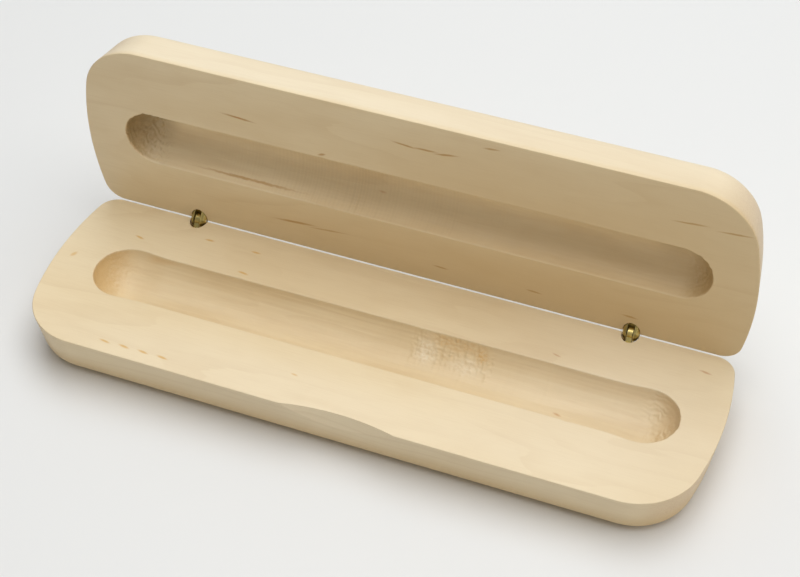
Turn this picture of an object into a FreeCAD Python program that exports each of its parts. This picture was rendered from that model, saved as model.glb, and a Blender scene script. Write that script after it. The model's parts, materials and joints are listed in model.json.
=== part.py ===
import FreeCAD, Part
import math
import os

# A pen case in two wooden halves joined by two small brass barrel hinges, modelled as it stands open.
# Millimetres. +X runs along the case, +Y towards the hinges, +Z up. The origin is the middle of the
# base's flat underside. The lid stands upright behind the base, on the stops inside its hinges.

V = FreeCAD.Vector
X_AXIS = V(1, 0, 0)
Z_AXIS = V(0, 0, 1)

# Wooden halves
CASE_LENGTH = 200.0
CASE_WIDTH = 58.0
HALF_THICKNESS = 15.0
END_ARC_R = 93.0
END_CROWN_Y = 3.6          # the fullest point of both ends lies this far behind the middle
FRONT_CORNER_R = 18.4
REAR_CORNER_R = 6.2
SIDE_DRAFT = 2.5           # front and ends lean in by this much from mating face to outer face
OUTER_ROUNDOVER = 5.7
EDGE_EASE = 0.25

# Pen grooves, cut with a round-nosed cutter
GROOVE_LENGTH = 175.0
GROOVE_WIDTH = 18.3
GROOVE_DEPTH = 8.0
GROOVE_Y = 1.5
BASE_GROOVE_X = 1.0        # the base's groove sits a little to the right of the lid's
LOBE_EXTRA_R = 0.5         # the base's groove swells at both ends, where the cutter plunged
GROOVE_EASE = 0.25

# Finger scoop on the base's front top edge, ground with a large drum
SCOOP_X = 1.8
SCOOP_HALF_LENGTH = 17.2
SCOOP_TOP_DEPTH = 2.0
SCOOP_FRONT_DEPTH = 4.4

# Hinges
HINGE_X = 66.75
PIN_BEHIND_REAR = 0.10     # pin axis behind the rear faces of both halves
CLOSED_GAP = 0.15          # left between the two mating faces when the case is shut
OPEN_ANGLE = 90.0
BORE_TILT = 45.0
BARREL_R = 2.5
BARREL_LENGTH = 8.4
BORE_R = 2.65
BORE_DEPTH = 8.7
DRILL_TIP = 1.6
SLOT_WIDTH = 2.1
SLOT_DEPTH = 3.3
EYE_THICKNESS = 1.5
EYE_R = 1.85
NECK_HALF_HEIGHT = 1.35
HEEL_HEIGHT = 2.38
WEB_INNER = 2.17
STOP_CLEARANCE = 0.03
SHOULDER = 2.7
PIN_R = 0.6
PIN_CLEARANCE = 0.05
PIN_HALF_LENGTH = 2.25
RING_COUNT = 3
RING_FIRST = 4.0
RING_PITCH = 1.3
RING_WIDTH = 0.5
RING_DEPTH = 0.25
END_CHAMFER = 0.35

HALF_LENGTH = CASE_LENGTH / 2
HALF_WIDTH = CASE_WIDTH / 2
MATING_Z = HALF_THICKNESS
PIN_Y = HALF_WIDTH + PIN_BEHIND_REAR
PIN_Z = MATING_Z + CLOSED_GAP / 2
OVERSIZE = 2 * BARREL_R    # how far cutting tools run past what they cut
TINY = 1e-4


def arc_about(centre, radius, start, end):
    """The short arc about a centre in the XY plane from start to end."""
    middle_direction = (start - centre) + (end - centre)
    middle = centre + middle_direction.normalize() * radius
    return Part.Arc(start, middle, end).toShape()


def corner_arc(radius, side_y, end_r):
    """One right-hand corner: its arc, where it leaves the straight side, and where it meets the end."""
    end_centre = V(HALF_LENGTH - END_ARC_R, END_CROWN_Y, 0)
    centre_y = side_y - math.copysign(radius, side_y)
    reach = end_r - radius
    centre_x = end_centre.x + math.sqrt(reach ** 2 - (centre_y - END_CROWN_Y) ** 2)
    centre = V(centre_x, centre_y, 0)
    on_side = V(centre_x, side_y, 0)
    on_end = end_centre + (centre - end_centre) * (end_r / reach)
    return arc_about(centre, radius, on_side, on_end), on_side, on_end


def outline(inset, height):
    """The plan outline at a height: straight front and rear, bulged ends, large front and small rear
    corners. Its front and ends lie inside those of the mating face by inset; its rear doesn't."""
    end_r = END_ARC_R - inset
    front, front_side, front_end = corner_arc(FRONT_CORNER_R - inset, inset - HALF_WIDTH, end_r)
    rear, rear_side, rear_end = corner_arc(REAR_CORNER_R, HALF_WIDTH, end_r)
    end = Part.Arc(front_end, V(HALF_LENGTH - inset, END_CROWN_Y, 0), rear_end).toShape()
    right = [front, end, rear]
    left = [edge.mirror(V(0, 0, 0), X_AXIS) for edge in reversed(right)]
    front_straight = Part.makeLine(V(-front_side.x, front_side.y, 0), front_side)
    rear_straight = Part.makeLine(rear_side, V(-rear_side.x, rear_side.y, 0))
    wire = Part.Wire([front_straight] + right + [rear_straight] + left)
    wire.translate(V(0, 0, height))
    return wire


def edges_at_height(shape, height):
    """Edges that lie wholly in a level plane."""
    found = []
    for edge in shape.Edges:
        box = edge.BoundBox
        if abs(box.ZMin - height) < TINY and abs(box.ZMax - height) < TINY:
            found.append(edge)
    return found


def blank():
    """One half before its groove is cut: rounded over below, nearly sharp round the mating face."""
    block = Part.makeLoft([outline(SIDE_DRAFT, 0), outline(0, MATING_Z)], True, True)
    block = block.makeFillet(OUTER_ROUNDOVER, edges_at_height(block, 0))
    return block.makeFillet(EDGE_EASE, edges_at_height(block, MATING_Z))


def groove_tool(centre_x, lobe_extra):
    """A round bar along X whose two ball ends are larger than the bar by lobe_extra."""
    bar_r = ((GROOVE_WIDTH / 2) ** 2 + GROOVE_DEPTH ** 2) / (2 * GROOVE_DEPTH)
    axis_above = bar_r - GROOVE_DEPTH
    ball_r = bar_r + lobe_extra
    rim_r = math.sqrt(ball_r ** 2 - axis_above ** 2)
    ball_x = GROOVE_LENGTH / 2 - rim_r
    joint_x = ball_x - math.sqrt(ball_r ** 2 - bar_r ** 2)
    pole = V(ball_x + ball_r, 0, 0)
    joint = V(joint_x, 0, bar_r)
    half_turn = math.atan2(joint.z, joint.x - ball_x) / 2
    shoulder = V(ball_x + ball_r * math.cos(half_turn), 0, ball_r * math.sin(half_turn))
    other_pole, other_joint, other_shoulder = [V(-p.x, 0, p.z) for p in (pole, joint, shoulder)]
    profile = Part.Wire([
        Part.Arc(pole, shoulder, joint).toShape(),
        Part.makeLine(joint, other_joint),
        Part.Arc(other_joint, other_shoulder, other_pole).toShape(),
        Part.makeLine(other_pole, pole),
    ])
    tool = Part.Face(profile).revolve(V(0, 0, 0), X_AXIS, 360)
    tool.translate(V(centre_x, GROOVE_Y, MATING_Z + axis_above))
    return tool


def cut_groove(block, centre_x, lobe_extra):
    """Cuts the pen groove and eases its rim."""
    grooved = block.cut(groove_tool(centre_x, lobe_extra))
    rim = []
    for edge in edges_at_height(grooved, MATING_Z):
        box = edge.BoundBox
        inside = max(abs(box.YMin - GROOVE_Y), abs(box.YMax - GROOVE_Y)) < GROOVE_WIDTH
        if inside and box.XMax - centre_x < GROOVE_LENGTH / 2 + TINY:
            rim.append(edge)
    return grooved.makeFillet(GROOVE_EASE, rim)


def scoop_tool():
    """The drum that grinds the finger scoop, tilted so it bites deeper down the front than the top."""
    corner = V(SCOOP_X, -HALF_WIDTH, MATING_Z)
    deepest_on_top = corner + V(0, SCOOP_TOP_DEPTH, 0)
    draft_there = SIDE_DRAFT * SCOOP_FRONT_DEPTH / HALF_THICKNESS
    lowest_on_front = corner + V(0, draft_there, -SCOOP_FRONT_DEPTH)
    axis = (lowest_on_front - deepest_on_top).normalize()
    outward = V(0, axis.z, -axis.y)
    bite = (corner - deepest_on_top).dot(outward)
    drum_r = (SCOOP_HALF_LENGTH ** 2 + bite ** 2) / (2 * bite)
    drum_length = 4 * HALF_THICKNESS
    foot = corner + outward * (drum_r - bite) - axis * (drum_length / 2)
    return Part.makeCylinder(drum_r, drum_length, foot, axis)


def bore_tool(x, direction):
    """A drilled hole with a pointed end, from outside the edge into the wood along a direction."""
    centre = V(x, PIN_Y, PIN_Z)
    start = centre - direction * OVERSIZE
    hole = Part.makeCylinder(BORE_R, OVERSIZE + BORE_DEPTH, start, direction)
    tip = Part.makeCone(BORE_R, 0, DRILL_TIP, centre + direction * BORE_DEPTH, direction)
    return hole.fuse(tip)


def swing_open(shape):
    """Turns a shape that is modelled on the shut case about the hinge pins, to where it stands open."""
    shape.rotate(V(0, PIN_Y, PIN_Z), X_AXIS, -OPEN_ANGLE)
    return shape


def bore_direction(upward):
    """From the pin into the wood, down into the base or up into the shut lid."""
    tilt = math.radians(BORE_TILT)
    return V(0, -math.cos(tilt), upward * math.sin(tilt))


def make_base():
    body = cut_groove(blank(), BASE_GROOVE_X, LOBE_EXTRA_R)
    body = body.cut(scoop_tool())
    for side in (-1, 1):
        body = body.cut(bore_tool(side * HINGE_X, bore_direction(-1)))
    return body


def make_lid():
    body = cut_groove(blank(), 0, 0)
    body = body.mirror(V(0, 0, PIN_Z), Z_AXIS)
    for side in (-1, 1):
        body = body.cut(bore_tool(side * HINGE_X, bore_direction(1)))
    return swing_open(body)


def turned_barrel(start_points, start_edges):
    """A barrel turned about Z, with ring grooves that hold the glue; the caller gives its open end."""
    points = [start_points[-1]]
    for ring in range(RING_COUNT):
        near = RING_FIRST + ring * RING_PITCH
        middle = near + RING_WIDTH / 2
        far = near + RING_WIDTH
        points += [V(BARREL_R, 0, near), V(BARREL_R - RING_DEPTH, 0, middle), V(BARREL_R, 0, far)]
    points.append(V(BARREL_R, 0, BARREL_LENGTH - END_CHAMFER))
    points.append(V(BARREL_R - END_CHAMFER, 0, BARREL_LENGTH))
    points.append(V(0, 0, BARREL_LENGTH))
    points.append(start_points[0])
    edges = start_edges + [Part.makeLine(a, b) for a, b in zip(points, points[1:])]
    return Part.Face(Part.Wire(edges)).revolve(V(0, 0, 0), Z_AXIS, 360)


def box_about_x(width, y_range, z_range):
    """A box centred on x = 0."""
    size = (width, y_range[1] - y_range[0], z_range[1] - z_range[0])
    return Part.makeBox(*size, V(-width / 2, y_range[0], z_range[0]))


def rod_along_x(radius, half_length):
    return Part.makeCylinder(radius, 2 * half_length, V(-half_length, 0, 0), X_AXIS)


def hinge_fork():
    """The lid's barrel. Its axis is Z, the pin is at the origin and its stop web is on the +Y side."""
    tip = V(0, 0, -BARREL_R)
    equator = V(BARREL_R, 0, 0)
    round_mid = V(BARREL_R * math.cos(math.pi / 4), 0, -BARREL_R * math.sin(math.pi / 4))
    ball_end = Part.Arc(tip, round_mid, equator).toShape()
    barrel = turned_barrel([tip, equator], [ball_end])
    slot = box_about_x(SLOT_WIDTH, (-OVERSIZE, WEB_INNER), (-OVERSIZE, SLOT_DEPTH))
    above_web = box_about_x(SLOT_WIDTH, (-OVERSIZE, OVERSIZE), (-OVERSIZE, STOP_CLEARANCE))
    return barrel.cut(slot.fuse(above_web)).cut(rod_along_x(PIN_R, OVERSIZE))


def hinge_tongue():
    """The base's barrel. Its axis is Z, the pin is at the origin and its stop heel is on the -Y side."""
    centre = V(0, 0, SHOULDER)
    rim = V(BARREL_R, 0, SHOULDER)
    barrel = turned_barrel([centre, rim], [Part.makeLine(centre, rim)])
    eye = rod_along_x(EYE_R, EYE_THICKNESS / 2)
    neck = box_about_x(EYE_THICKNESS, (-HEEL_HEIGHT, NECK_HALF_HEIGHT), (0, SHOULDER))
    tongue = barrel.fuse([eye, neck]).removeSplitter()
    return tongue.cut(rod_along_x(PIN_R + PIN_CLEARANCE, OVERSIZE))


def place(shape, x, turn):
    """Turns a hinge piece about the pin and carries it to its place along the case."""
    shape.rotate(V(0, 0, 0), X_AXIS, turn)
    shape.translate(V(x, PIN_Y, PIN_Z))
    return shape


def build():
    nodes = {"base_half": make_base(), "lid_half": make_lid()}
    for name, side in (("left", -1), ("right", 1)):
        x = side * HINGE_X
        nodes[name + "_hinge_fork"] = place(hinge_fork(), x, BORE_TILT - OPEN_ANGLE)
        nodes[name + "_hinge_tongue"] = place(hinge_tongue(), x, 90 + BORE_TILT)
        nodes[name + "_hinge_pin"] = place(rod_along_x(PIN_R, PIN_HALF_LENGTH), x, 0)
    return nodes


os.makedirs("parts", exist_ok=True)
for node, shape in build().items():
    solid = shape.Solids[0]
    print(node, "solids", len(shape.Solids), "valid", solid.isValid(), "volume", round(solid.Volume, 2))
    solid.exportStep("parts/" + node + ".step")
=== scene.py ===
import json
import math

import bmesh
import bpy
import numpy as np
from mathutils import Euler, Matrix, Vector, noise
from mathutils.geometry import delaunay_2d_cdt


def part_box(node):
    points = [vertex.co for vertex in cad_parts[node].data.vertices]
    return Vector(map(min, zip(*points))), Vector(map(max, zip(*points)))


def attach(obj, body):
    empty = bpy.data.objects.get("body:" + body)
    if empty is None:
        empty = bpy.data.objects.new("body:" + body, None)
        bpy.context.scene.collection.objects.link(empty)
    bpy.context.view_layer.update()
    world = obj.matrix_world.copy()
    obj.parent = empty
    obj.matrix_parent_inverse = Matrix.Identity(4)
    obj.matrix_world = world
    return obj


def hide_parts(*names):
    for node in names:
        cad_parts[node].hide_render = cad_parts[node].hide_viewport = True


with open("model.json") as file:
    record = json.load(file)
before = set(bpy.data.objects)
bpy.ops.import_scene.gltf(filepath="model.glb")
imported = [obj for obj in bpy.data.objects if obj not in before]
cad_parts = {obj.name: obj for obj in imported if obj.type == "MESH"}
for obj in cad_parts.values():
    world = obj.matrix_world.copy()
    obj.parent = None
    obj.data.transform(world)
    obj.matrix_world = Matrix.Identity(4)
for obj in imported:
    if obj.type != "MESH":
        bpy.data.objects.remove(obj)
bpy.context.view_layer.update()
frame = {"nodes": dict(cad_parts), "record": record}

MM = 0.001
BASE_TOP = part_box("base_half")[1].z
LID_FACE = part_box("lid_half")[0].y
HINGE = frame["record"]["behaviour"]["joints"][0]
PIN = Vector(HINGE["pos_m"])

# Pen grooves, in millimetres, as the two halves are cut
GROOVE_LENGTH = 175.0
GROOVE_WIDTH = 18.3
GROOVE_DEPTH = 8.0
GROOVE_Y = 1.5
BASE_GROOVE_X = 1.0
BASE_LOBE = 0.5            # how much larger the base's ball ends are than its straight part
RIM_EASE = 0.22            # width of the softened rim
FRONT_RIM = GROOVE_Y - GROOVE_WIDTH / 2
REAR_RIM = GROOVE_Y + GROOVE_WIDTH / 2

# Camera: above and in front of the right-hand end, looking down at about 45 degrees
CAMERA_PLACE = (0.15348, -0.33502, 0.40854)
CAMERA_TURN_DEG = (44.688, 1.439, 21.768)
CAMERA_LENS = 87.16


# ---------------------------------------------------------------- node helpers

class Graph:
    """A short way to write shader nodes."""

    def __init__(self, name):
        self.material = bpy.data.materials.new(name)
        self.material.use_nodes = True
        self.tree = self.material.node_tree
        self.nodes = self.tree.nodes
        self.shader = self.nodes["Principled BSDF"]

    def link(self, source, target):
        self.tree.links.new(source, target)

    def feed(self, socket, value):
        if isinstance(value, bpy.types.NodeSocket):
            self.link(value, socket)
        else:
            socket.default_value = value

    def math(self, operation, a, b=0.0):
        node = self.nodes.new("ShaderNodeMath")
        node.operation = operation
        self.feed(node.inputs[0], a)
        self.feed(node.inputs[1], b)
        return node.outputs[0]

    def add(self, a, b):
        return self.math("ADD", a, b)

    def sub(self, a, b):
        return self.math("SUBTRACT", a, b)

    def mul(self, a, b):
        return self.math("MULTIPLY", a, b)

    def ramp(self, value, low, high, smooth=True):
        """0 where value is low, 1 where it is high, with a soft step between."""
        node = self.nodes.new("ShaderNodeMapRange")
        node.interpolation_type = "SMOOTHSTEP" if smooth else "LINEAR"
        self.feed(node.inputs["Value"], value)
        node.inputs["From Min"].default_value = low
        node.inputs["From Max"].default_value = high
        return node.outputs["Result"]

    def mapping(self, vector, location=(0, 0, 0), rotation=(0, 0, 0), scale=(1, 1, 1)):
        node = self.nodes.new("ShaderNodeMapping")
        self.link(vector, node.inputs["Vector"])
        node.inputs["Location"].default_value = location
        node.inputs["Rotation"].default_value = rotation
        node.inputs["Scale"].default_value = scale
        return node.outputs[0]

    def noise(self, vector, along, across, detail, roughness=0.5):
        """Soft noise: how often it changes over one unit of X, and over one of Y or Z."""
        node = self.nodes.new("ShaderNodeTexNoise")
        self.link(self.mapping(vector, scale=(along, across, across)), node.inputs["Vector"])
        node.inputs["Scale"].default_value = 1.0
        node.inputs["Detail"].default_value = detail
        node.inputs["Roughness"].default_value = roughness
        return node.outputs["Fac"]

    def vector(self, operation, a, b=None):
        node = self.nodes.new("ShaderNodeVectorMath")
        node.operation = operation
        self.link(a, node.inputs[0])
        if b is not None:
            self.link(b, node.inputs[1])
        return node.outputs["Value" if operation == "LENGTH" else "Vector"]

    def split(self, vector):
        node = self.nodes.new("ShaderNodeSeparateXYZ")
        self.link(vector, node.inputs[0])
        return node.outputs

    def mix(self, factor, a, b):
        node = self.nodes.new("ShaderNodeMix")
        node.data_type = "RGBA"
        self.feed(node.inputs["Factor"], factor)
        self.feed(node.inputs["A"], a)
        self.feed(node.inputs["B"], b)
        return node.outputs["Result"]

    def bump(self, height, distance, strength):
        node = self.nodes.new("ShaderNodeBump")
        node.inputs["Strength"].default_value = strength
        node.inputs["Distance"].default_value = distance
        self.link(height, node.inputs["Height"])
        return node.outputs["Normal"]


# ---------------------------------------------------------------- maple

PALE = (0.80, 0.645, 0.405, 1)
CREAM = (0.845, 0.70, 0.46, 1)
LATE_WOOD = (0.64, 0.46, 0.24, 1)
END_GRAIN = (0.58, 0.385, 0.19, 1)
BASE_GROOVE_END = (0.66, 0.46, 0.205, 1)
LID_GROOVE_END = (0.40, 0.27, 0.11, 1)
BASE_FLECK = (0.70, 0.42, 0.11, 1)
LID_FLECK = (0.47, 0.23, 0.035, 1)
ORANGE_FLECK = (0.50, 0.19, 0.03, 1)
TORN_FIBRE = (0.93, 0.84, 0.66, 1)
# Painted light: a warm golden tint that stands for warm light bounced from the base and the floor
PAINTED_BOUNCE_GOLD = (0.66, 0.46, 0.21, 1)
# Painted shade: a dark brown for the shade inside the lid's groove
PAINTED_SHADE_BROWN = (0.25, 0.18, 0.085, 1)
GOLDEN = (0.74, 0.48, 0.19, 1)
# Painted light: a paler, whiter cream that brightens the base's top where the light falls most
PAINTED_LIGHT_CREAM = (0.90, 0.80, 0.64, 1)
# Painted sheen: a whitish tint over the lid's top edge and outer faces
PAINTED_SHEEN_WHITE = (0.96, 0.93, 0.86, 1)

RING_SPACING = 3.4         # millimetres from one growth ring to the next
FLECK_REACH = 12.0         # how deep in the wood a fleck still shows
FIBRE_RELIEF = 0.00004     # height of the raised fibres, in metres


def board_coordinates(g, lid):
    """Millimetres on the board: X along it, Y across it as when shut, Z square to its mating face.

    Z counts from the base's mating face, and for the lid from the hinge axis, 0.075 mm before its face.
    """
    coordinates = g.nodes.new("ShaderNodeTexCoord").outputs["Object"]
    scale = (1 / MM, 1 / MM, 1 / MM)
    if not lid:
        return g.mapping(coordinates, location=(0, 0, -BASE_TOP / MM), scale=scale)
    turn = Euler((math.radians(90), 0, 0))
    pin = PIN / MM
    place = Vector((0, pin.y, 0)) - turn.to_matrix() @ pin
    return g.mapping(coordinates, location=place, rotation=turn, scale=scale)


def flecks_mask(g, board, flecks):
    """Dashes in the grain. Each is (x, y, length, width, tilt in degrees, strength)."""
    waver = g.noise(board, 0.35, 1.3, 3)
    sideways = g.nodes.new("ShaderNodeCombineXYZ")
    g.link(g.mul(g.sub(waver, 0.5), 0.4), sideways.inputs["Y"])
    wavering = g.vector("ADD", board, sideways.outputs[0])
    total = 0.0
    for x, y, length, width, tilt, strength in flecks:
        local = g.nodes.new("ShaderNodeMapping")
        local.vector_type = "TEXTURE"
        g.link(wavering, local.inputs["Vector"])
        local.inputs["Location"].default_value = (x, y, 0)
        local.inputs["Rotation"].default_value = (0, 0, math.radians(tilt))
        local.inputs["Scale"].default_value = (length / 2, width / 2, FLECK_REACH)
        dash = g.ramp(g.vector("LENGTH", local.outputs[0]), 0.25, 1.15)
        total = g.math("MAXIMUM", g.mul(g.sub(1.0, dash), strength), total)
    return total


def growth_rings(g, board, shifted, pith):
    """Late wood: rings about a pith line far from the board's face, wandering along its length."""
    wander = g.mul(g.sub(g.noise(shifted, 0.010, 0.045, 2), 0.5), 22.0)
    ripple = g.mul(g.sub(g.noise(shifted, 0.035, 0.30, 3), 0.5), 1.4)
    _, across, below = g.split(g.mapping(board, location=(0, -pith[0], -pith[1])))
    radius = g.math("SQRT", g.add(g.mul(across, across), g.mul(below, below)))
    radius = g.add(g.add(radius, wander), ripple)
    ring = g.math("FRACT", g.mul(radius, 1 / RING_SPACING))
    late = g.mul(g.ramp(ring, 0.55, 0.96), g.sub(1.0, g.ramp(ring, 0.965, 1.0)))
    return g.mul(late, g.ramp(g.noise(shifted, 0.012, 0.10, 2), 0.35, 0.75))


def plain_wood(g, board, shifted, pith, fibre, pores):
    """The board's own colour: clouds, late wood, mottle, fibres and pores."""
    cloud = g.noise(shifted, 0.014, 0.05, 3, 0.55)
    mottle = g.noise(shifted, 0.08, 0.22, 3)
    colour = g.mix(g.ramp(cloud, 0.35, 0.65), PALE, CREAM)
    darker = (
        (growth_rings(g, board, shifted, pith), 0.26),
        (g.ramp(mottle, 0.45, 0.75), 0.10),
        (g.ramp(fibre, 0.45, 0.75), 0.16),
        (pores, 0.14))
    for mask, amount in darker:
        colour = g.mix(g.mul(mask, amount), colour, LATE_WOOD)
    return colour


def groove_box(g, x, y, depth):
    """1 in a box round the groove, from just below the mating face to a little below its bottom."""
    half_width = GROOVE_WIDTH / 2
    half_length = GROOVE_LENGTH / 2
    across = g.math("ABSOLUTE", g.sub(y, GROOVE_Y))
    inside = g.sub(1.0, g.ramp(across, half_width + 0.25, half_width + 0.65))
    along = g.math("ABSOLUTE", x)
    inside = g.mul(inside, g.sub(1.0, g.ramp(along, half_length + 2.0, half_length + 3.0)))
    inside = g.mul(inside, g.ramp(depth, 0.05, 0.9))
    return g.mul(inside, g.sub(1.0, g.ramp(depth, GROOVE_DEPTH + 1.2, GROOVE_DEPTH + 2.2)))


def end_grain(g, shifted, colour, inside, groove_end):
    """Darker where the surface faces along the board, and darker still where the cutter rubbed it."""
    normal = g.nodes.new("ShaderNodeTexCoord").outputs["Normal"]
    facing = g.math("ABSOLUTE", g.split(normal)[0])
    speckle = g.ramp(g.noise(shifted, 0.8, 2.6, 3, 0.6), 0.35, 0.65)
    end = g.mul(g.ramp(facing, 0.22, 0.85), g.add(0.45, g.mul(speckle, 0.3)))
    colour = g.mix(end, colour, END_GRAIN)
    rubbed = g.mul(inside, g.ramp(facing, 0.02, 0.95, smooth=False))
    rubbed = g.mul(rubbed, g.add(0.75, g.mul(speckle, 0.15)))
    return g.mix(rubbed, colour, groove_end)


def broad_marks(g, board, shifted, colour, inside, patches):
    """Tinted places, among them painted light and painted shade, of which all but the broad ones stay in
    the groove, and its shaded streaks.
    """
    torn = g.ramp(g.noise(shifted, 1.1, 1.6, 3, 0.65), 0.40, 0.60)
    for patch, tint, kind in patches:
        mask = flecks_mask(g, board, [patch])
        if kind != "broad":
            mask = g.mul(mask, inside)
        if kind == "torn":
            mask = g.mul(mask, g.add(0.25, g.mul(torn, 0.75)))
        colour = g.mix(mask, colour, tint)
    shade = g.mul(inside, g.ramp(g.noise(shifted, 0.03, 0.35, 3), 0.4, 0.7))
    return g.mix(g.mul(shade, 0.22), colour, LATE_WOOD)


def maple(name, lid, pith, seed, flecks, fleck_colour, orange_flecks, groove_end, patches, sides):
    """Bare sanded maple: growth rings of a solid log, fibres, flecks, darker end grain, with painted light
    and shade laid into its colour.
    """
    g = Graph(name)
    board = board_coordinates(g, lid)
    shifted = g.mapping(board, location=seed)
    x, y, square = g.split(board)
    depth = g.mul(square, 1.0 if lid else -1.0)
    inside = groove_box(g, x, y, depth)
    fibre = g.noise(shifted, 0.10, 3.6, 4, 0.6)
    fine = g.noise(shifted, 0.45, 9.0, 3, 0.65)
    pores = g.ramp(g.noise(shifted, 0.9, 6.5, 2), 0.66, 0.80)

    colour = plain_wood(g, board, shifted, pith, fibre, pores)
    colour = end_grain(g, shifted, colour, inside, groove_end)
    # Painted light on the outer faces, away from the groove: warm bounce low on the base's sides, sheen on
    # the lid
    side_light_tint, side_start, side_full, side_amount = sides
    outer = g.mul(g.ramp(depth, side_start, side_full), g.sub(1.0, inside))
    colour = g.mix(g.mul(outer, side_amount), colour, side_light_tint)
    colour = broad_marks(g, board, shifted, colour, inside, patches)
    colour = g.mix(flecks_mask(g, board, flecks), colour, fleck_colour)
    colour = g.mix(flecks_mask(g, board, orange_flecks), colour, ORANGE_FLECK)
    g.link(colour, g.shader.inputs["Base Color"])

    g.link(g.add(0.42, g.mul(fibre, 0.16)), g.shader.inputs["Roughness"])
    g.shader.inputs["Specular IOR Level"].default_value = 0.5
    relief = g.add(g.mul(fibre, 0.5), g.add(g.mul(fine, 0.35), g.mul(pores, -0.4)))
    g.link(g.bump(relief, FIBRE_RELIEF, 0.6), g.shader.inputs["Normal"])
    return g.material


def fleck_row(first_x, step, count, y, look):
    """Flecks of one look (length, width, tilt, strength), one after another along the grain."""
    return [(first_x + step * i, y, *look) for i in range(count)]


def fleck_arc(first_x, step, count, y, first_tilt, turn, look):
    """Flecks that overlap and turn a little each time, so that they read as one bent streak."""
    length, width, strength = look
    return [(first_x + step * i, y, length, width, first_tilt + turn * i, strength) for i in range(count)]


# Flecks: x, y, length, width in millimetres on the board, tilt in degrees, strength
BASE_FLECKS = [
    *fleck_row(-70, 6, 4, -25, (4.2, 1.0, -8, 0.8)),
    *fleck_row(-60, 15, 2, 22, (3.6, 0.9, 0, 0.8)),
    (-80, 16, 3.6, 1.0, -12, 0.8),
    (-45, 13, 4.2, 1.0, -8, 0.8),
    (-95, 3, 3.0, 1.6, 60, 0.6),
    (-15, -18, 2.6, 0.8, -8, 0.6)]
BASE_ORANGE = [
    (55, 0, 3.8, 1.5, -16, 0.95),
    (50, 14, 3.2, 0.7, -14, 0.45),
    (90, 22, 4.4, 0.9, -8, 0.5)]
LID_FLECKS = [
    *fleck_arc(0, 6, 3, -20, 5, -7, (8.5, 0.8, 0.75)),
    *fleck_row(80, 12, 2, -17, (11, 0.8, -5, 0.65)),
    (-50, -15, 11.6, 0.9, 4, 0.8),
    (-25, -9, 3.0, 1.0, -20, 0.7),
    (25, -26, 5.6, 0.8, -6, 0.65),
    (-35, 20, 15, 1.1, -4, 0.7),
    (-25, 20, 14, 0.7, -5, 0.5),
    (-50, 10, 40, 0.36, 0, 0.6),
    *fleck_row(10, 28, 3, 23, (5.5, 0.8, 4, 0.6))]
LID_ORANGE = [
    (-10, 6, 3.4, 0.8, 3, 0.5),
    (-50, -15, 3.6, 0.6, 4, 0.5)]

# Broader tints, some of them painted light and shade: the same six numbers, then a colour and a kind
BASE_PATCHES = [
    # Painted light: the front and the right of the base's top are made paler, as where the light falls
    ((70, -4, 110, 80, 0, 0.30), PAINTED_LIGHT_CREAM, "broad"),
    ((-20, -24, 170, 26, 0, 0.22), PAINTED_LIGHT_CREAM, "broad"),
    ((14, 7, 9, 8, 0, 0.95), TORN_FIBRE, "torn"),
    ((26, 6, 14, 7, 0, 0.6), TORN_FIBRE, "torn"),
    ((22, 10, 24, 2.6, 0, 0.45), GOLDEN, "torn"),
    ((30, 9, 5, 3, 0, 0.8), GOLDEN, "torn"),
    ((-70, 10.5, 12, 1.2, 0, 0.3), GOLDEN, "rubbed"),
    ((86, -2.5, 3.4, 10, -24, 0.75), GOLDEN, "torn")]
LID_PATCHES = [
    # Painted light: the lid's right half and its strip near the hinge turn golden, as if lit by warm light
    # bounced from the base
    ((70, 6, 190, 90, 0, 0.44), PAINTED_BOUNCE_GOLD, "broad"),
    ((5, 22, 230, 26, 0, 0.26), PAINTED_BOUNCE_GOLD, "broad"),
    # Painted shade: the ends of the lid's groove and its upper wall are darkened, where the lid's own wood
    # casts shade
    ((-81, -0.5, 20, 20, 0, 0.9), PAINTED_SHADE_BROWN, "rubbed"),
    ((77, 0, 22, 14, 0, 0.45), PAINTED_SHADE_BROWN, "rubbed"),
    ((40, -3.2, 110, 7, 0, 0.20), PAINTED_SHADE_BROWN, "rubbed")]

# One wood for each half. Pith: its y and z on the board. Seed: a shift that gives the half its own figure.
# Sides: painted light on the outer faces, given as a colour, the depth where it sets in, the depth where
# it is full, and how much of it
BASE_WOOD = {
    "lid": False, "pith": (8, -62), "seed": (13, 40, 7),
    "flecks": BASE_FLECKS, "fleck_colour": BASE_FLECK, "orange_flecks": BASE_ORANGE,
    # The base's sides take painted bounce light, more golden low down, as if lit from the floor
    "groove_end": BASE_GROOVE_END, "patches": BASE_PATCHES, "sides": (PAINTED_BOUNCE_GOLD, 5.0, 12.0, 0.5)}
LID_WOOD = {
    "lid": True, "pith": (-12, 70), "seed": (320, 90, 51),
    "flecks": LID_FLECKS, "fleck_colour": LID_FLECK, "orange_flecks": LID_ORANGE,
    # The lid's sides take painted sheen, whitish over all but the strip next to its mating face
    "groove_end": LID_GROOVE_END, "patches": LID_PATCHES, "sides": (PAINTED_SHEEN_WHITE, 0.1, 2.5, 0.20)}


# ---------------------------------------------------------------- brass and steel

BRASS_BROWN = (0.25, 0.19, 0.055, 1)
BRASS_YELLOW = (0.56, 0.45, 0.15, 1)
BRASS_RUBBED = (0.70, 0.57, 0.22, 1)
BRASS_HOLLOW = (0.05, 0.035, 0.012, 1)
STEEL_DARK = (0.30, 0.29, 0.27, 1)
STEEL_LIGHT = (0.52, 0.51, 0.48, 1)
BRASS_GRIT = 0.00002       # height of the brass's grain, in metres
EDGE_BREAK = 0.00006       # width of the softened edges of the brass, in metres
EDGE_ANGLE = math.radians(40)


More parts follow.
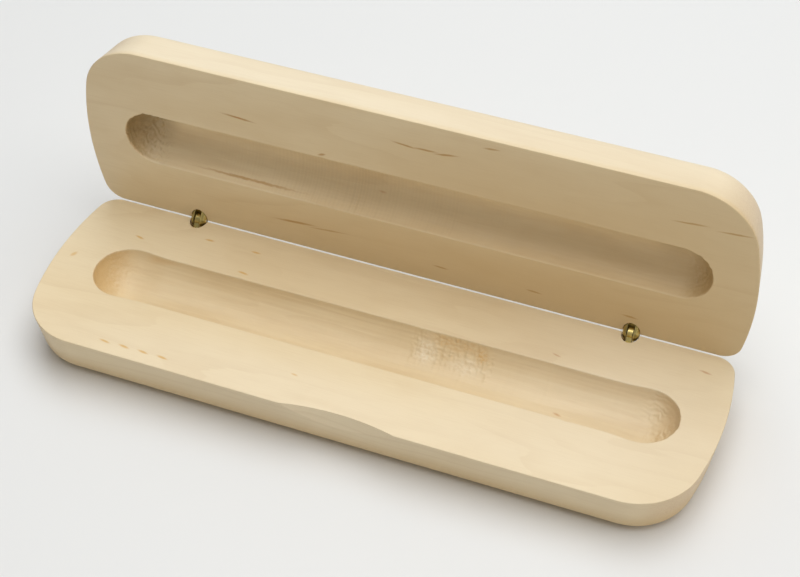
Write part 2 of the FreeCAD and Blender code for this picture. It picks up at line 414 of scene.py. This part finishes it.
def antique_brass():
    """Darkened brass: bright where it is rubbed, brown in the hollows."""
    g = Graph("antique_brass")
    coordinates = g.nodes.new("ShaderNodeTexCoord").outputs["Object"]
    blotch = g.noise(coordinates, 700, 700, 4, 0.6)
    grit = g.noise(coordinates, 5200, 5200, 2, 0.6)
    colour = g.mix(g.ramp(blotch, 0.38, 0.66), BRASS_BROWN, BRASS_YELLOW)
    edge = g.nodes.new("ShaderNodeNewGeometry").outputs["Pointiness"]
    colour = g.mix(g.ramp(edge, 0.50, 0.56), colour, BRASS_RUBBED)
    colour = g.mix(g.ramp(edge, 0.49, 0.44), colour, BRASS_HOLLOW)
    g.link(colour, g.shader.inputs["Base Color"])
    g.shader.inputs["Metallic"].default_value = 1.0
    g.link(g.add(0.26, g.mul(blotch, 0.2)), g.shader.inputs["Roughness"])
    g.link(g.bump(grit, BRASS_GRIT, 0.35), g.shader.inputs["Normal"])
    return g.material


def pin_steel():
    """Plain steel with fine turning marks round the pin."""
    g = Graph("pin_steel")
    coordinates = g.nodes.new("ShaderNodeTexCoord").outputs["Object"]
    lathe = g.noise(coordinates, 9000, 300, 2, 0.6)
    g.link(g.mix(lathe, STEEL_DARK, STEEL_LIGHT), g.shader.inputs["Base Color"])
    g.shader.inputs["Metallic"].default_value = 1.0
    g.link(g.add(0.25, g.mul(lathe, 0.2)), g.shader.inputs["Roughness"])
    return g.material


def paint(piece, material):
    piece.data.materials.clear()
    piece.data.materials.append(material)


# ---------------------------------------------------------------- wooden halves

class Board:
    """One half, in millimetres on the board: x along it, y across it as when shut, depth into it."""

    def __init__(self, node, is_lid, groove_x, lobe):
        self.node = node
        self.is_lid = is_lid
        self.groove_x = groove_x
        self.face = (LID_FACE if is_lid else BASE_TOP) / MM
        self.bar_r = ((GROOVE_WIDTH / 2) ** 2 + GROOVE_DEPTH ** 2) / (2 * GROOVE_DEPTH)
        self.above = self.bar_r - GROOVE_DEPTH
        self.ball_r = self.bar_r + lobe
        self.rim_r = math.sqrt(self.ball_r ** 2 - self.above ** 2)
        self.ball_x = GROOVE_LENGTH / 2 - self.rim_r

    def place(self, x, y, depth):
        """The object's own coordinates, in metres, of a spot on the board."""
        if self.is_lid:
            return Vector((x * MM, (self.face + depth) * MM, PIN.z + PIN.y - y * MM))
        return Vector((x * MM, y * MM, (self.face - depth) * MM))

    def read(self, point):
        """The spot on the board, in millimetres, of a point of the object."""
        if self.is_lid:
            return point.x / MM, (PIN.y + PIN.z - point.z) / MM, point.y / MM - self.face
        return point.x / MM, point.y / MM, self.face - point.z / MM

    def over_groove(self, x, y, margin):
        """Whether a spot on the board lies inside the groove's plan outline, grown by margin."""
        along = max(0.0, abs(x - self.groove_x) - self.ball_x)
        return math.hypot(along, y - GROOVE_Y) < self.rim_r + margin


STRAIGHT_STEP = 0.3        # grid step along the straight part, in millimetres
WALL_STEP = 0.28           # grid step down the wall
END_STEPS = 120            # grid steps round one ball end
FLAT_MARGIN = 0.9          # a plain strip round the rim, wider than any chip reaches out
LOBE_RUN = 9.0             # over how long a stretch the straight part swells into the ball end
OUTLINE_MARGIN = 0.6       # how far past its outline a point still counts as over the groove
ON_FACE = 0.002            # how near the mating face a point counts as on it
SEAM_WELD = 1e-6           # points closer than this are one, in metres
BOTTOM_WELD = 1e-5         # and this along the groove's bottom line
CREASE = math.radians(12)  # a sharper bend than this outside the groove stays crisp
SMOOTH_BELOW = math.radians(35)


def groove_path(board):
    """Spots round the groove: (x of its centre, outward direction, radius of the cutter there)."""
    count = round(2 * board.ball_x / STRAIGHT_STEP)
    path = []
    for side in (1, -1):
        for i in range(count):
            x = side * (2 * board.ball_x * i / count - board.ball_x)
            nearness = max(0.0, 1.0 - (board.ball_x - abs(x)) / LOBE_RUN)
            radius = board.bar_r + (board.ball_r - board.bar_r) * nearness ** 2 * (3 - 2 * nearness)
            path.append((x, (0.0, -side), radius))
        for i in range(END_STEPS):
            turn = math.pi * i / END_STEPS
            way = (side * math.sin(turn), -side * math.cos(turn))
            path.append((side * board.ball_x, way, board.ball_r))
    return path


def groove_ring(board, path, fraction, carve):
    """One ring of the groove's wall: fraction is 1 at the rim and 0 along the bottom."""
    ring = []
    for x, way, radius in path:
        spot = on_wall(board, x, way, radius, fraction)
        ring.append(on_wall(board, x, way, radius + carve(*spot), fraction))
    return ring


def on_wall(board, x, way, radius, fraction):
    """A spot on the groove's wall, the cutter's radius away from its centre line."""
    angle = fraction * math.acos(board.above / radius)
    reach = radius * math.sin(angle)
    depth = radius * math.cos(angle) - board.above
    return board.groove_x + x + reach * way[0], GROOVE_Y + reach * way[1], depth


def sharpen_creases(mesh, board):
    """Keeps the flat face's outline and the scoop's shallow edges crisp, outside the groove."""
    sides = {}
    for polygon in mesh.polygons:
        flat = all(abs(board.read(mesh.vertices[v].co)[2]) < ON_FACE for v in polygon.vertices)
        for key in polygon.edge_keys:
            sides.setdefault(key, []).append((flat, polygon.normal))
    sharp = mesh.attributes["sharp_edge"].data
    for edge in mesh.edges:
        (flat_a, normal_a), (flat_b, normal_b) = sides[edge.key]
        x, y, _ = board.read(mesh.vertices[edge.vertices[0]].co)
        bent = normal_a.angle(normal_b, 0.0) > CREASE
        crease = bent and not board.over_groove(x, y, OUTLINE_MARGIN)
        if flat_a != flat_b or crease:
            sharp[edge.index].value = True


def uncut(x, y, depth):
    """The carving of a plain groove."""
    return 0.0


def fill_flat(bm, board, edges):
    """Triangles for the flat face between its outline and the groove, by the even-odd rule."""
    verts = list(dict.fromkeys(v for edge in edges for v in edge.verts))
    number = {v: i for i, v in enumerate(verts)}
    flat = [Vector(board.read(v.co)[:2]) for v in verts]
    pairs = [tuple(number[v] for v in edge.verts) for edge in edges]
    spots, _, triangles, originals, _, _ = delaunay_2d_cdt(flat, pairs, [], 0, 1e-6)
    start = np.array([flat[a] for a, _ in pairs])
    run = np.array([flat[b] for _, b in pairs]) - start
    rise = np.where(run[:, 1] == 0.0, 1.0, run[:, 1])
    for triangle in triangles:
        x, y = sum((spots[i] for i in triangle), Vector((0, 0))) / 3
        crossed = (start[:, 1] > y) != (start[:, 1] + run[:, 1] > y)
        beyond = start[:, 0] + (y - start[:, 1]) * run[:, 0] / rise > x
        if np.count_nonzero(crossed & beyond) % 2:
            bm.faces.new([verts[originals[i][0]] for i in triangle])


def open_groove(bm, board):
    """Takes away the flat mating face and the groove, and returns the edges that this leaves open."""
    gone = []
    for face in bm.faces:
        spots = [board.read(v.co) for v in face.verts]
        flat = all(abs(depth) < ON_FACE for _, _, depth in spots)
        inside = all(board.over_groove(x, y, OUTLINE_MARGIN) for x, y, _ in spots)
        if flat or inside:
            gone.append(face)
    bmesh.ops.delete(bm, geom=gone, context="FACES")
    return [edge for edge in bm.edges if edge.is_boundary]


def groove_rings(board, path, carve):
    """Rings from the plain strip on the flat face, over the softened rim, down to the bottom."""
    rings = []
    for out, depth, carving in (
            (FLAT_MARGIN, 0.0, uncut),
            (RIM_EASE, 0.0, carve),
            (0.3 * RIM_EASE, 0.3 * RIM_EASE, carve)):
        rim = groove_ring(board, path, 1.0, carving)
        ways = [way for _, way, _ in path]
        strip = [(x + out * way[0], y + out * way[1], depth) for (x, y, _), way in zip(rim, ways)]
        rings.append(strip)
    levels = round(board.bar_r * math.acos(board.above / board.bar_r) / WALL_STEP)
    first = 1.0 - RIM_EASE / (levels * WALL_STEP)
    for level in range(levels + 1):
        rings.append(groove_ring(board, path, first * (1.0 - level / levels), carve))
    return rings


def stitch(bm, board, rings):
    """Faces between the rings. Returns the first ring's edges and the last ring's points."""
    grid = []
    for ring in rings:
        grid.append([bm.verts.new(board.place(*spot)) for spot in ring])
    count = len(grid[0])
    for upper, lower in zip(grid, grid[1:]):
        for i in range(count):
            j = (i + 1) % count
            bm.faces.new((upper[i], upper[j], lower[j], lower[i]))
    top = grid[0]
    return [bm.edges.get((top[i], top[(i + 1) % count])) for i in range(count)], grid[-1]


def make_half(board, name, carve):
    """The CAD half with its groove cut again as an even grid that carve(x, y, depth) can work on."""
    mesh = frame["nodes"][board.node].data.copy()
    bm = bmesh.new()
    bm.from_mesh(mesh)
    bmesh.ops.remove_doubles(bm, verts=bm.verts, dist=SEAM_WELD)
    outer = open_groove(bm, board)
    inner, bottom = stitch(bm, board, groove_rings(board, groove_path(board), carve))
    fill_flat(bm, board, outer + inner)
    bmesh.ops.remove_doubles(bm, verts=bottom, dist=BOTTOM_WELD)
    bmesh.ops.recalc_face_normals(bm, faces=bm.faces)
    for face in bm.faces:
        face.smooth = True
    bm.to_mesh(mesh)
    bm.free()
    mesh.set_sharp_from_angle(angle=SMOOTH_BELOW)
    sharpen_creases(mesh, board)
    piece = bpy.data.objects.new(name, mesh)
    bpy.context.scene.collection.objects.link(piece)
    weighted = piece.modifiers.new("even_shading", "WEIGHTED_NORMAL")
    weighted.keep_sharp = True
    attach(piece, "lid" if board.is_lid else "base")
    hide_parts(board.node)
    return piece


# ---------------------------------------------------------------- what the cutter left, in millimetres

CHATTER_PITCH = 2.2
CHIP_DEPTH = 0.8           # how far down the wall a chip in the rim reaches
END_RUN = 1.5              # over how long a stretch the torn end grain sets in
TORN_FROM = 8.5            # where the torn stretch of the base's rear wall begins and ends
TORN_TO = 34.0
BASE_ENDS = (-78.0, 79.0)  # where the torn end grain sets in at each end of a groove
LID_ENDS = (-77.0, 80.0)


def past(distance):
    """0 well before a place, 1 well past it."""
    return 1.0 / (1.0 + math.exp(-distance / END_RUN))


def fade_in(distance, run):
    """0 before a place, 1 from run past it on."""
    return min(1.0, max(0.0, distance / run))


def bell(value, middle, half_width):
    """1 at the middle, falling away softly on both sides."""
    return math.exp(-((value - middle) / half_width) ** 2)


def chatter(x, middle, half_width, amount):
    """Faint bands across the groove that a ball-nosed cutter leaves."""
    drift = 2.6 * noise.noise(Vector((x * 0.13, 3.0, 0.0)))
    strength = 0.75 + noise.noise(Vector((x * 0.21, 9.0, 0.0)))
    wave = math.sin(2 * math.pi * x / CHATTER_PITCH + drift)
    return amount * strength * bell(x, middle, half_width) * wave


def tool_streaks(y, depth, seed, amount):
    """Fine lines along the groove, each the same for its whole length."""
    return amount * noise.noise(Vector((seed, y * 1.1, depth * 1.1)))


def torn_end(x, y, depth, seed, spacing, amount):
    """Wavy ridges round a ball end, where the cutter lifts the end grain."""
    waver = noise.fractal(Vector((x * 0.35, y * 0.35 + seed, depth * 0.35)), 1.0, 2.0, 3)
    patch = noise.noise(Vector((x * 0.16, y * 0.16, depth * 0.16 + seed)))
    ridge = math.sin(2 * math.pi * (depth + 1.3 * waver) / spacing)
    return amount * ridge * min(1.0, max(0.15, 0.6 + 1.6 * patch))


def fuzz(x, y, depth, seed, amount):
    """Short torn fibres along the grain."""
    value = noise.noise(Vector((x * 0.45, y * 2.0 + seed, depth * 2.0)))
    value += 0.6 * noise.noise(Vector((x * 1.1, y * 3.4, depth * 3.4 + seed)))
    return amount * max(0.0, value)


def rim_chip(x, y, depth, chips):
    """Small bites out of the rim. Each is (x, y, width, how far out)."""
    out = 0.0
    for chip_x, chip_y, width, size in chips:
        off = math.hypot(x - chip_x, y - chip_y)
        out += size * bell(off, 0.0, width) * bell(depth, 0.0, CHIP_DEPTH)
    return out


def on_end_rim(end, degrees):
    """A place on the rim of the ball end at +X (end 1) or -X (end -1), by its angle round that end."""
    radius = GROOVE_WIDTH / 2
    middle = end * (GROOVE_LENGTH / 2 - radius)
    turn = math.radians(degrees)
    return middle + radius * math.cos(turn), GROOVE_Y + radius * math.sin(turn)


# Chips: a place on the rim, then the width and how far out, in millimetres
LID_CHIPS = [
    *((*on_end_rim(1, -55 + 15 * i), 0.8, 0.3) for i in range(3)),
    (*on_end_rim(-1, -105), 1.0, 0.35),
    (-25, FRONT_RIM, 0.8, 0.2)]
BASE_CHIPS = [
    (60, FRONT_RIM, 0.9, 0.2),
    (-45, REAR_RIM, 0.8, 0.15)]


def lid_carve(x, y, depth):
    """How much farther out than a plain groove the lid's groove is cut."""
    cut = chatter(x, -20.0, 42.0, 0.05) + tool_streaks(y, depth, 5.0, 0.05)
    cut += past(LID_ENDS[0] - x) * torn_end(x, y, depth, 11.0, 1.5, 0.15)
    right_end = torn_end(x, y, depth, 23.0, 1.7, 0.05) + fuzz(x, y, depth, 4.0, 0.10)
    cut += past(x - LID_ENDS[1]) * right_end
    return cut + rim_chip(x, y, depth, LID_CHIPS)


def base_carve(x, y, depth):
    """The same for the base's groove, whose rear wall is torn in one stretch and stands proud there."""
    cut = chatter(x, 25.0, 50.0, 0.016) + tool_streaks(y, depth, 9.0, 0.06)
    cut += past(BASE_ENDS[0] - x) * torn_end(x, y, depth, 31.0, 1.3, 0.04)
    cut += past(x - BASE_ENDS[1]) * torn_end(x, y, depth, 47.0, 1.25, 0.11)
    rear = fade_in(x - TORN_FROM, 1.5) * fade_in(TORN_TO - x, 1.0) * bell(y, 8.0, 3.4)
    band = noise.noise(Vector((x * 1.7, y * 0.3, depth * 0.3)))
    shred = noise.noise(Vector((x * 1.3, y * 1.5 + 15.0, depth * 1.5)))
    cut -= rear * (0.20 * band + 0.30 * max(0.0, shred) + 0.05)
    return cut + rim_chip(x, y, depth, BASE_CHIPS)


def finish_hinges():
    """Brass and softened edges for the barrels, steel for the pins."""
    nodes = frame["nodes"]
    brass = antique_brass()
    steel = pin_steel()
    for side in ("left", "right"):
        for kind in ("fork", "tongue"):
            barrel = nodes[f"{side}_hinge_{kind}"]
            paint(barrel, brass)
            bevel = barrel.modifiers.new("broken_edges", "BEVEL")
            bevel.width = EDGE_BREAK
            bevel.segments = 2
            bevel.limit_method = "ANGLE"
            bevel.angle_limit = EDGE_ANGLE
        paint(nodes[f"{side}_hinge_pin"], steel)


base_board = Board("base_half", False, BASE_GROOVE_X, BASE_LOBE)
lid_board = Board("lid_half", True, 0.0, 0.0)
base_half = make_half(base_board, "base_maple_half", base_carve)
lid_half = make_half(lid_board, "lid_maple_half", lid_carve)
paint(base_half, maple("base_maple", **BASE_WOOD))
paint(lid_half, maple("lid_maple", **LID_WOOD))
finish_hinges()


# ---------------------------------------------------------------- floor, light and camera

FLOOR_HALF = 3.0           # half the floor's width, in metres
FLOOR_PALE = (0.82, 0.82, 0.81, 1)


def make_floor():
    mesh = bpy.data.meshes.new("floor")
    corners = [(x * FLOOR_HALF, y * FLOOR_HALF, 0) for x, y in ((-1, -1), (1, -1), (1, 1), (-1, 1))]
    mesh.from_pydata(corners, [], [(0, 1, 2, 3)])
    floor = bpy.data.objects.new("floor", mesh)
    bpy.context.scene.collection.objects.link(floor)
    g = Graph("floor_paper")
    g.shader.inputs["Base Color"].default_value = FLOOR_PALE
    g.shader.inputs["Roughness"].default_value = 0.6
    paint(floor, g.material)


def area_light(name, place, target, size, power, colour=(1, 1, 1)):
    """A soft light, width by height in metres, aimed at the target; power in watts."""
    data = bpy.data.lights.new(name, "AREA")
    data.shape = "RECTANGLE"
    data.size, data.size_y = size
    data.energy = power
    data.color = colour
    light = bpy.data.objects.new(name, data)
    light.location = place
    light.rotation_euler = (Vector(target) - Vector(place)).to_track_quat("-Z", "Y").to_euler()
    bpy.context.scene.collection.objects.link(light)


def make_world():
    world = bpy.data.worlds.new("studio")
    bpy.context.scene.world = world
    world.use_nodes = True
    background = world.node_tree.nodes["Background"]
    background.inputs["Color"].default_value = (1.0, 0.985, 0.96, 1)
    background.inputs["Strength"].default_value = 0.18


def make_camera():
    data = bpy.data.cameras.new("camera")
    data.lens = CAMERA_LENS
    data.sensor_width = 36
    data.clip_start = 0.01
    camera = bpy.data.objects.new("camera", data)
    camera.location = CAMERA_PLACE
    camera.rotation_euler = Euler([math.radians(a) for a in CAMERA_TURN_DEG], "XYZ")
    bpy.context.scene.collection.objects.link(camera)
    bpy.context.scene.camera = camera


make_floor()
make_world()
area_light("key", (0.12, 0.06, 1.0), (0, 0, 0), (1.1, 0.9), 8.6)
area_light("back", (-0.35, 0.9, 1.05), (0, 0, 0.03), (1.0, 0.7), 4.2, (0.88, 0.95, 1.0))
area_light("right", (1.3, 0.15, 0.5), (0, 0, 0.03), (0.8, 0.6), 3.2, (0.96, 0.98, 1.0))
area_light("front", (0.4, -1.4, 0.75), (0, 0, 0.03), (1.4, 0.8), 1.9, (1, 0.87, 0.66))
make_camera()
bpy.context.scene.view_settings.view_transform = "Standard"
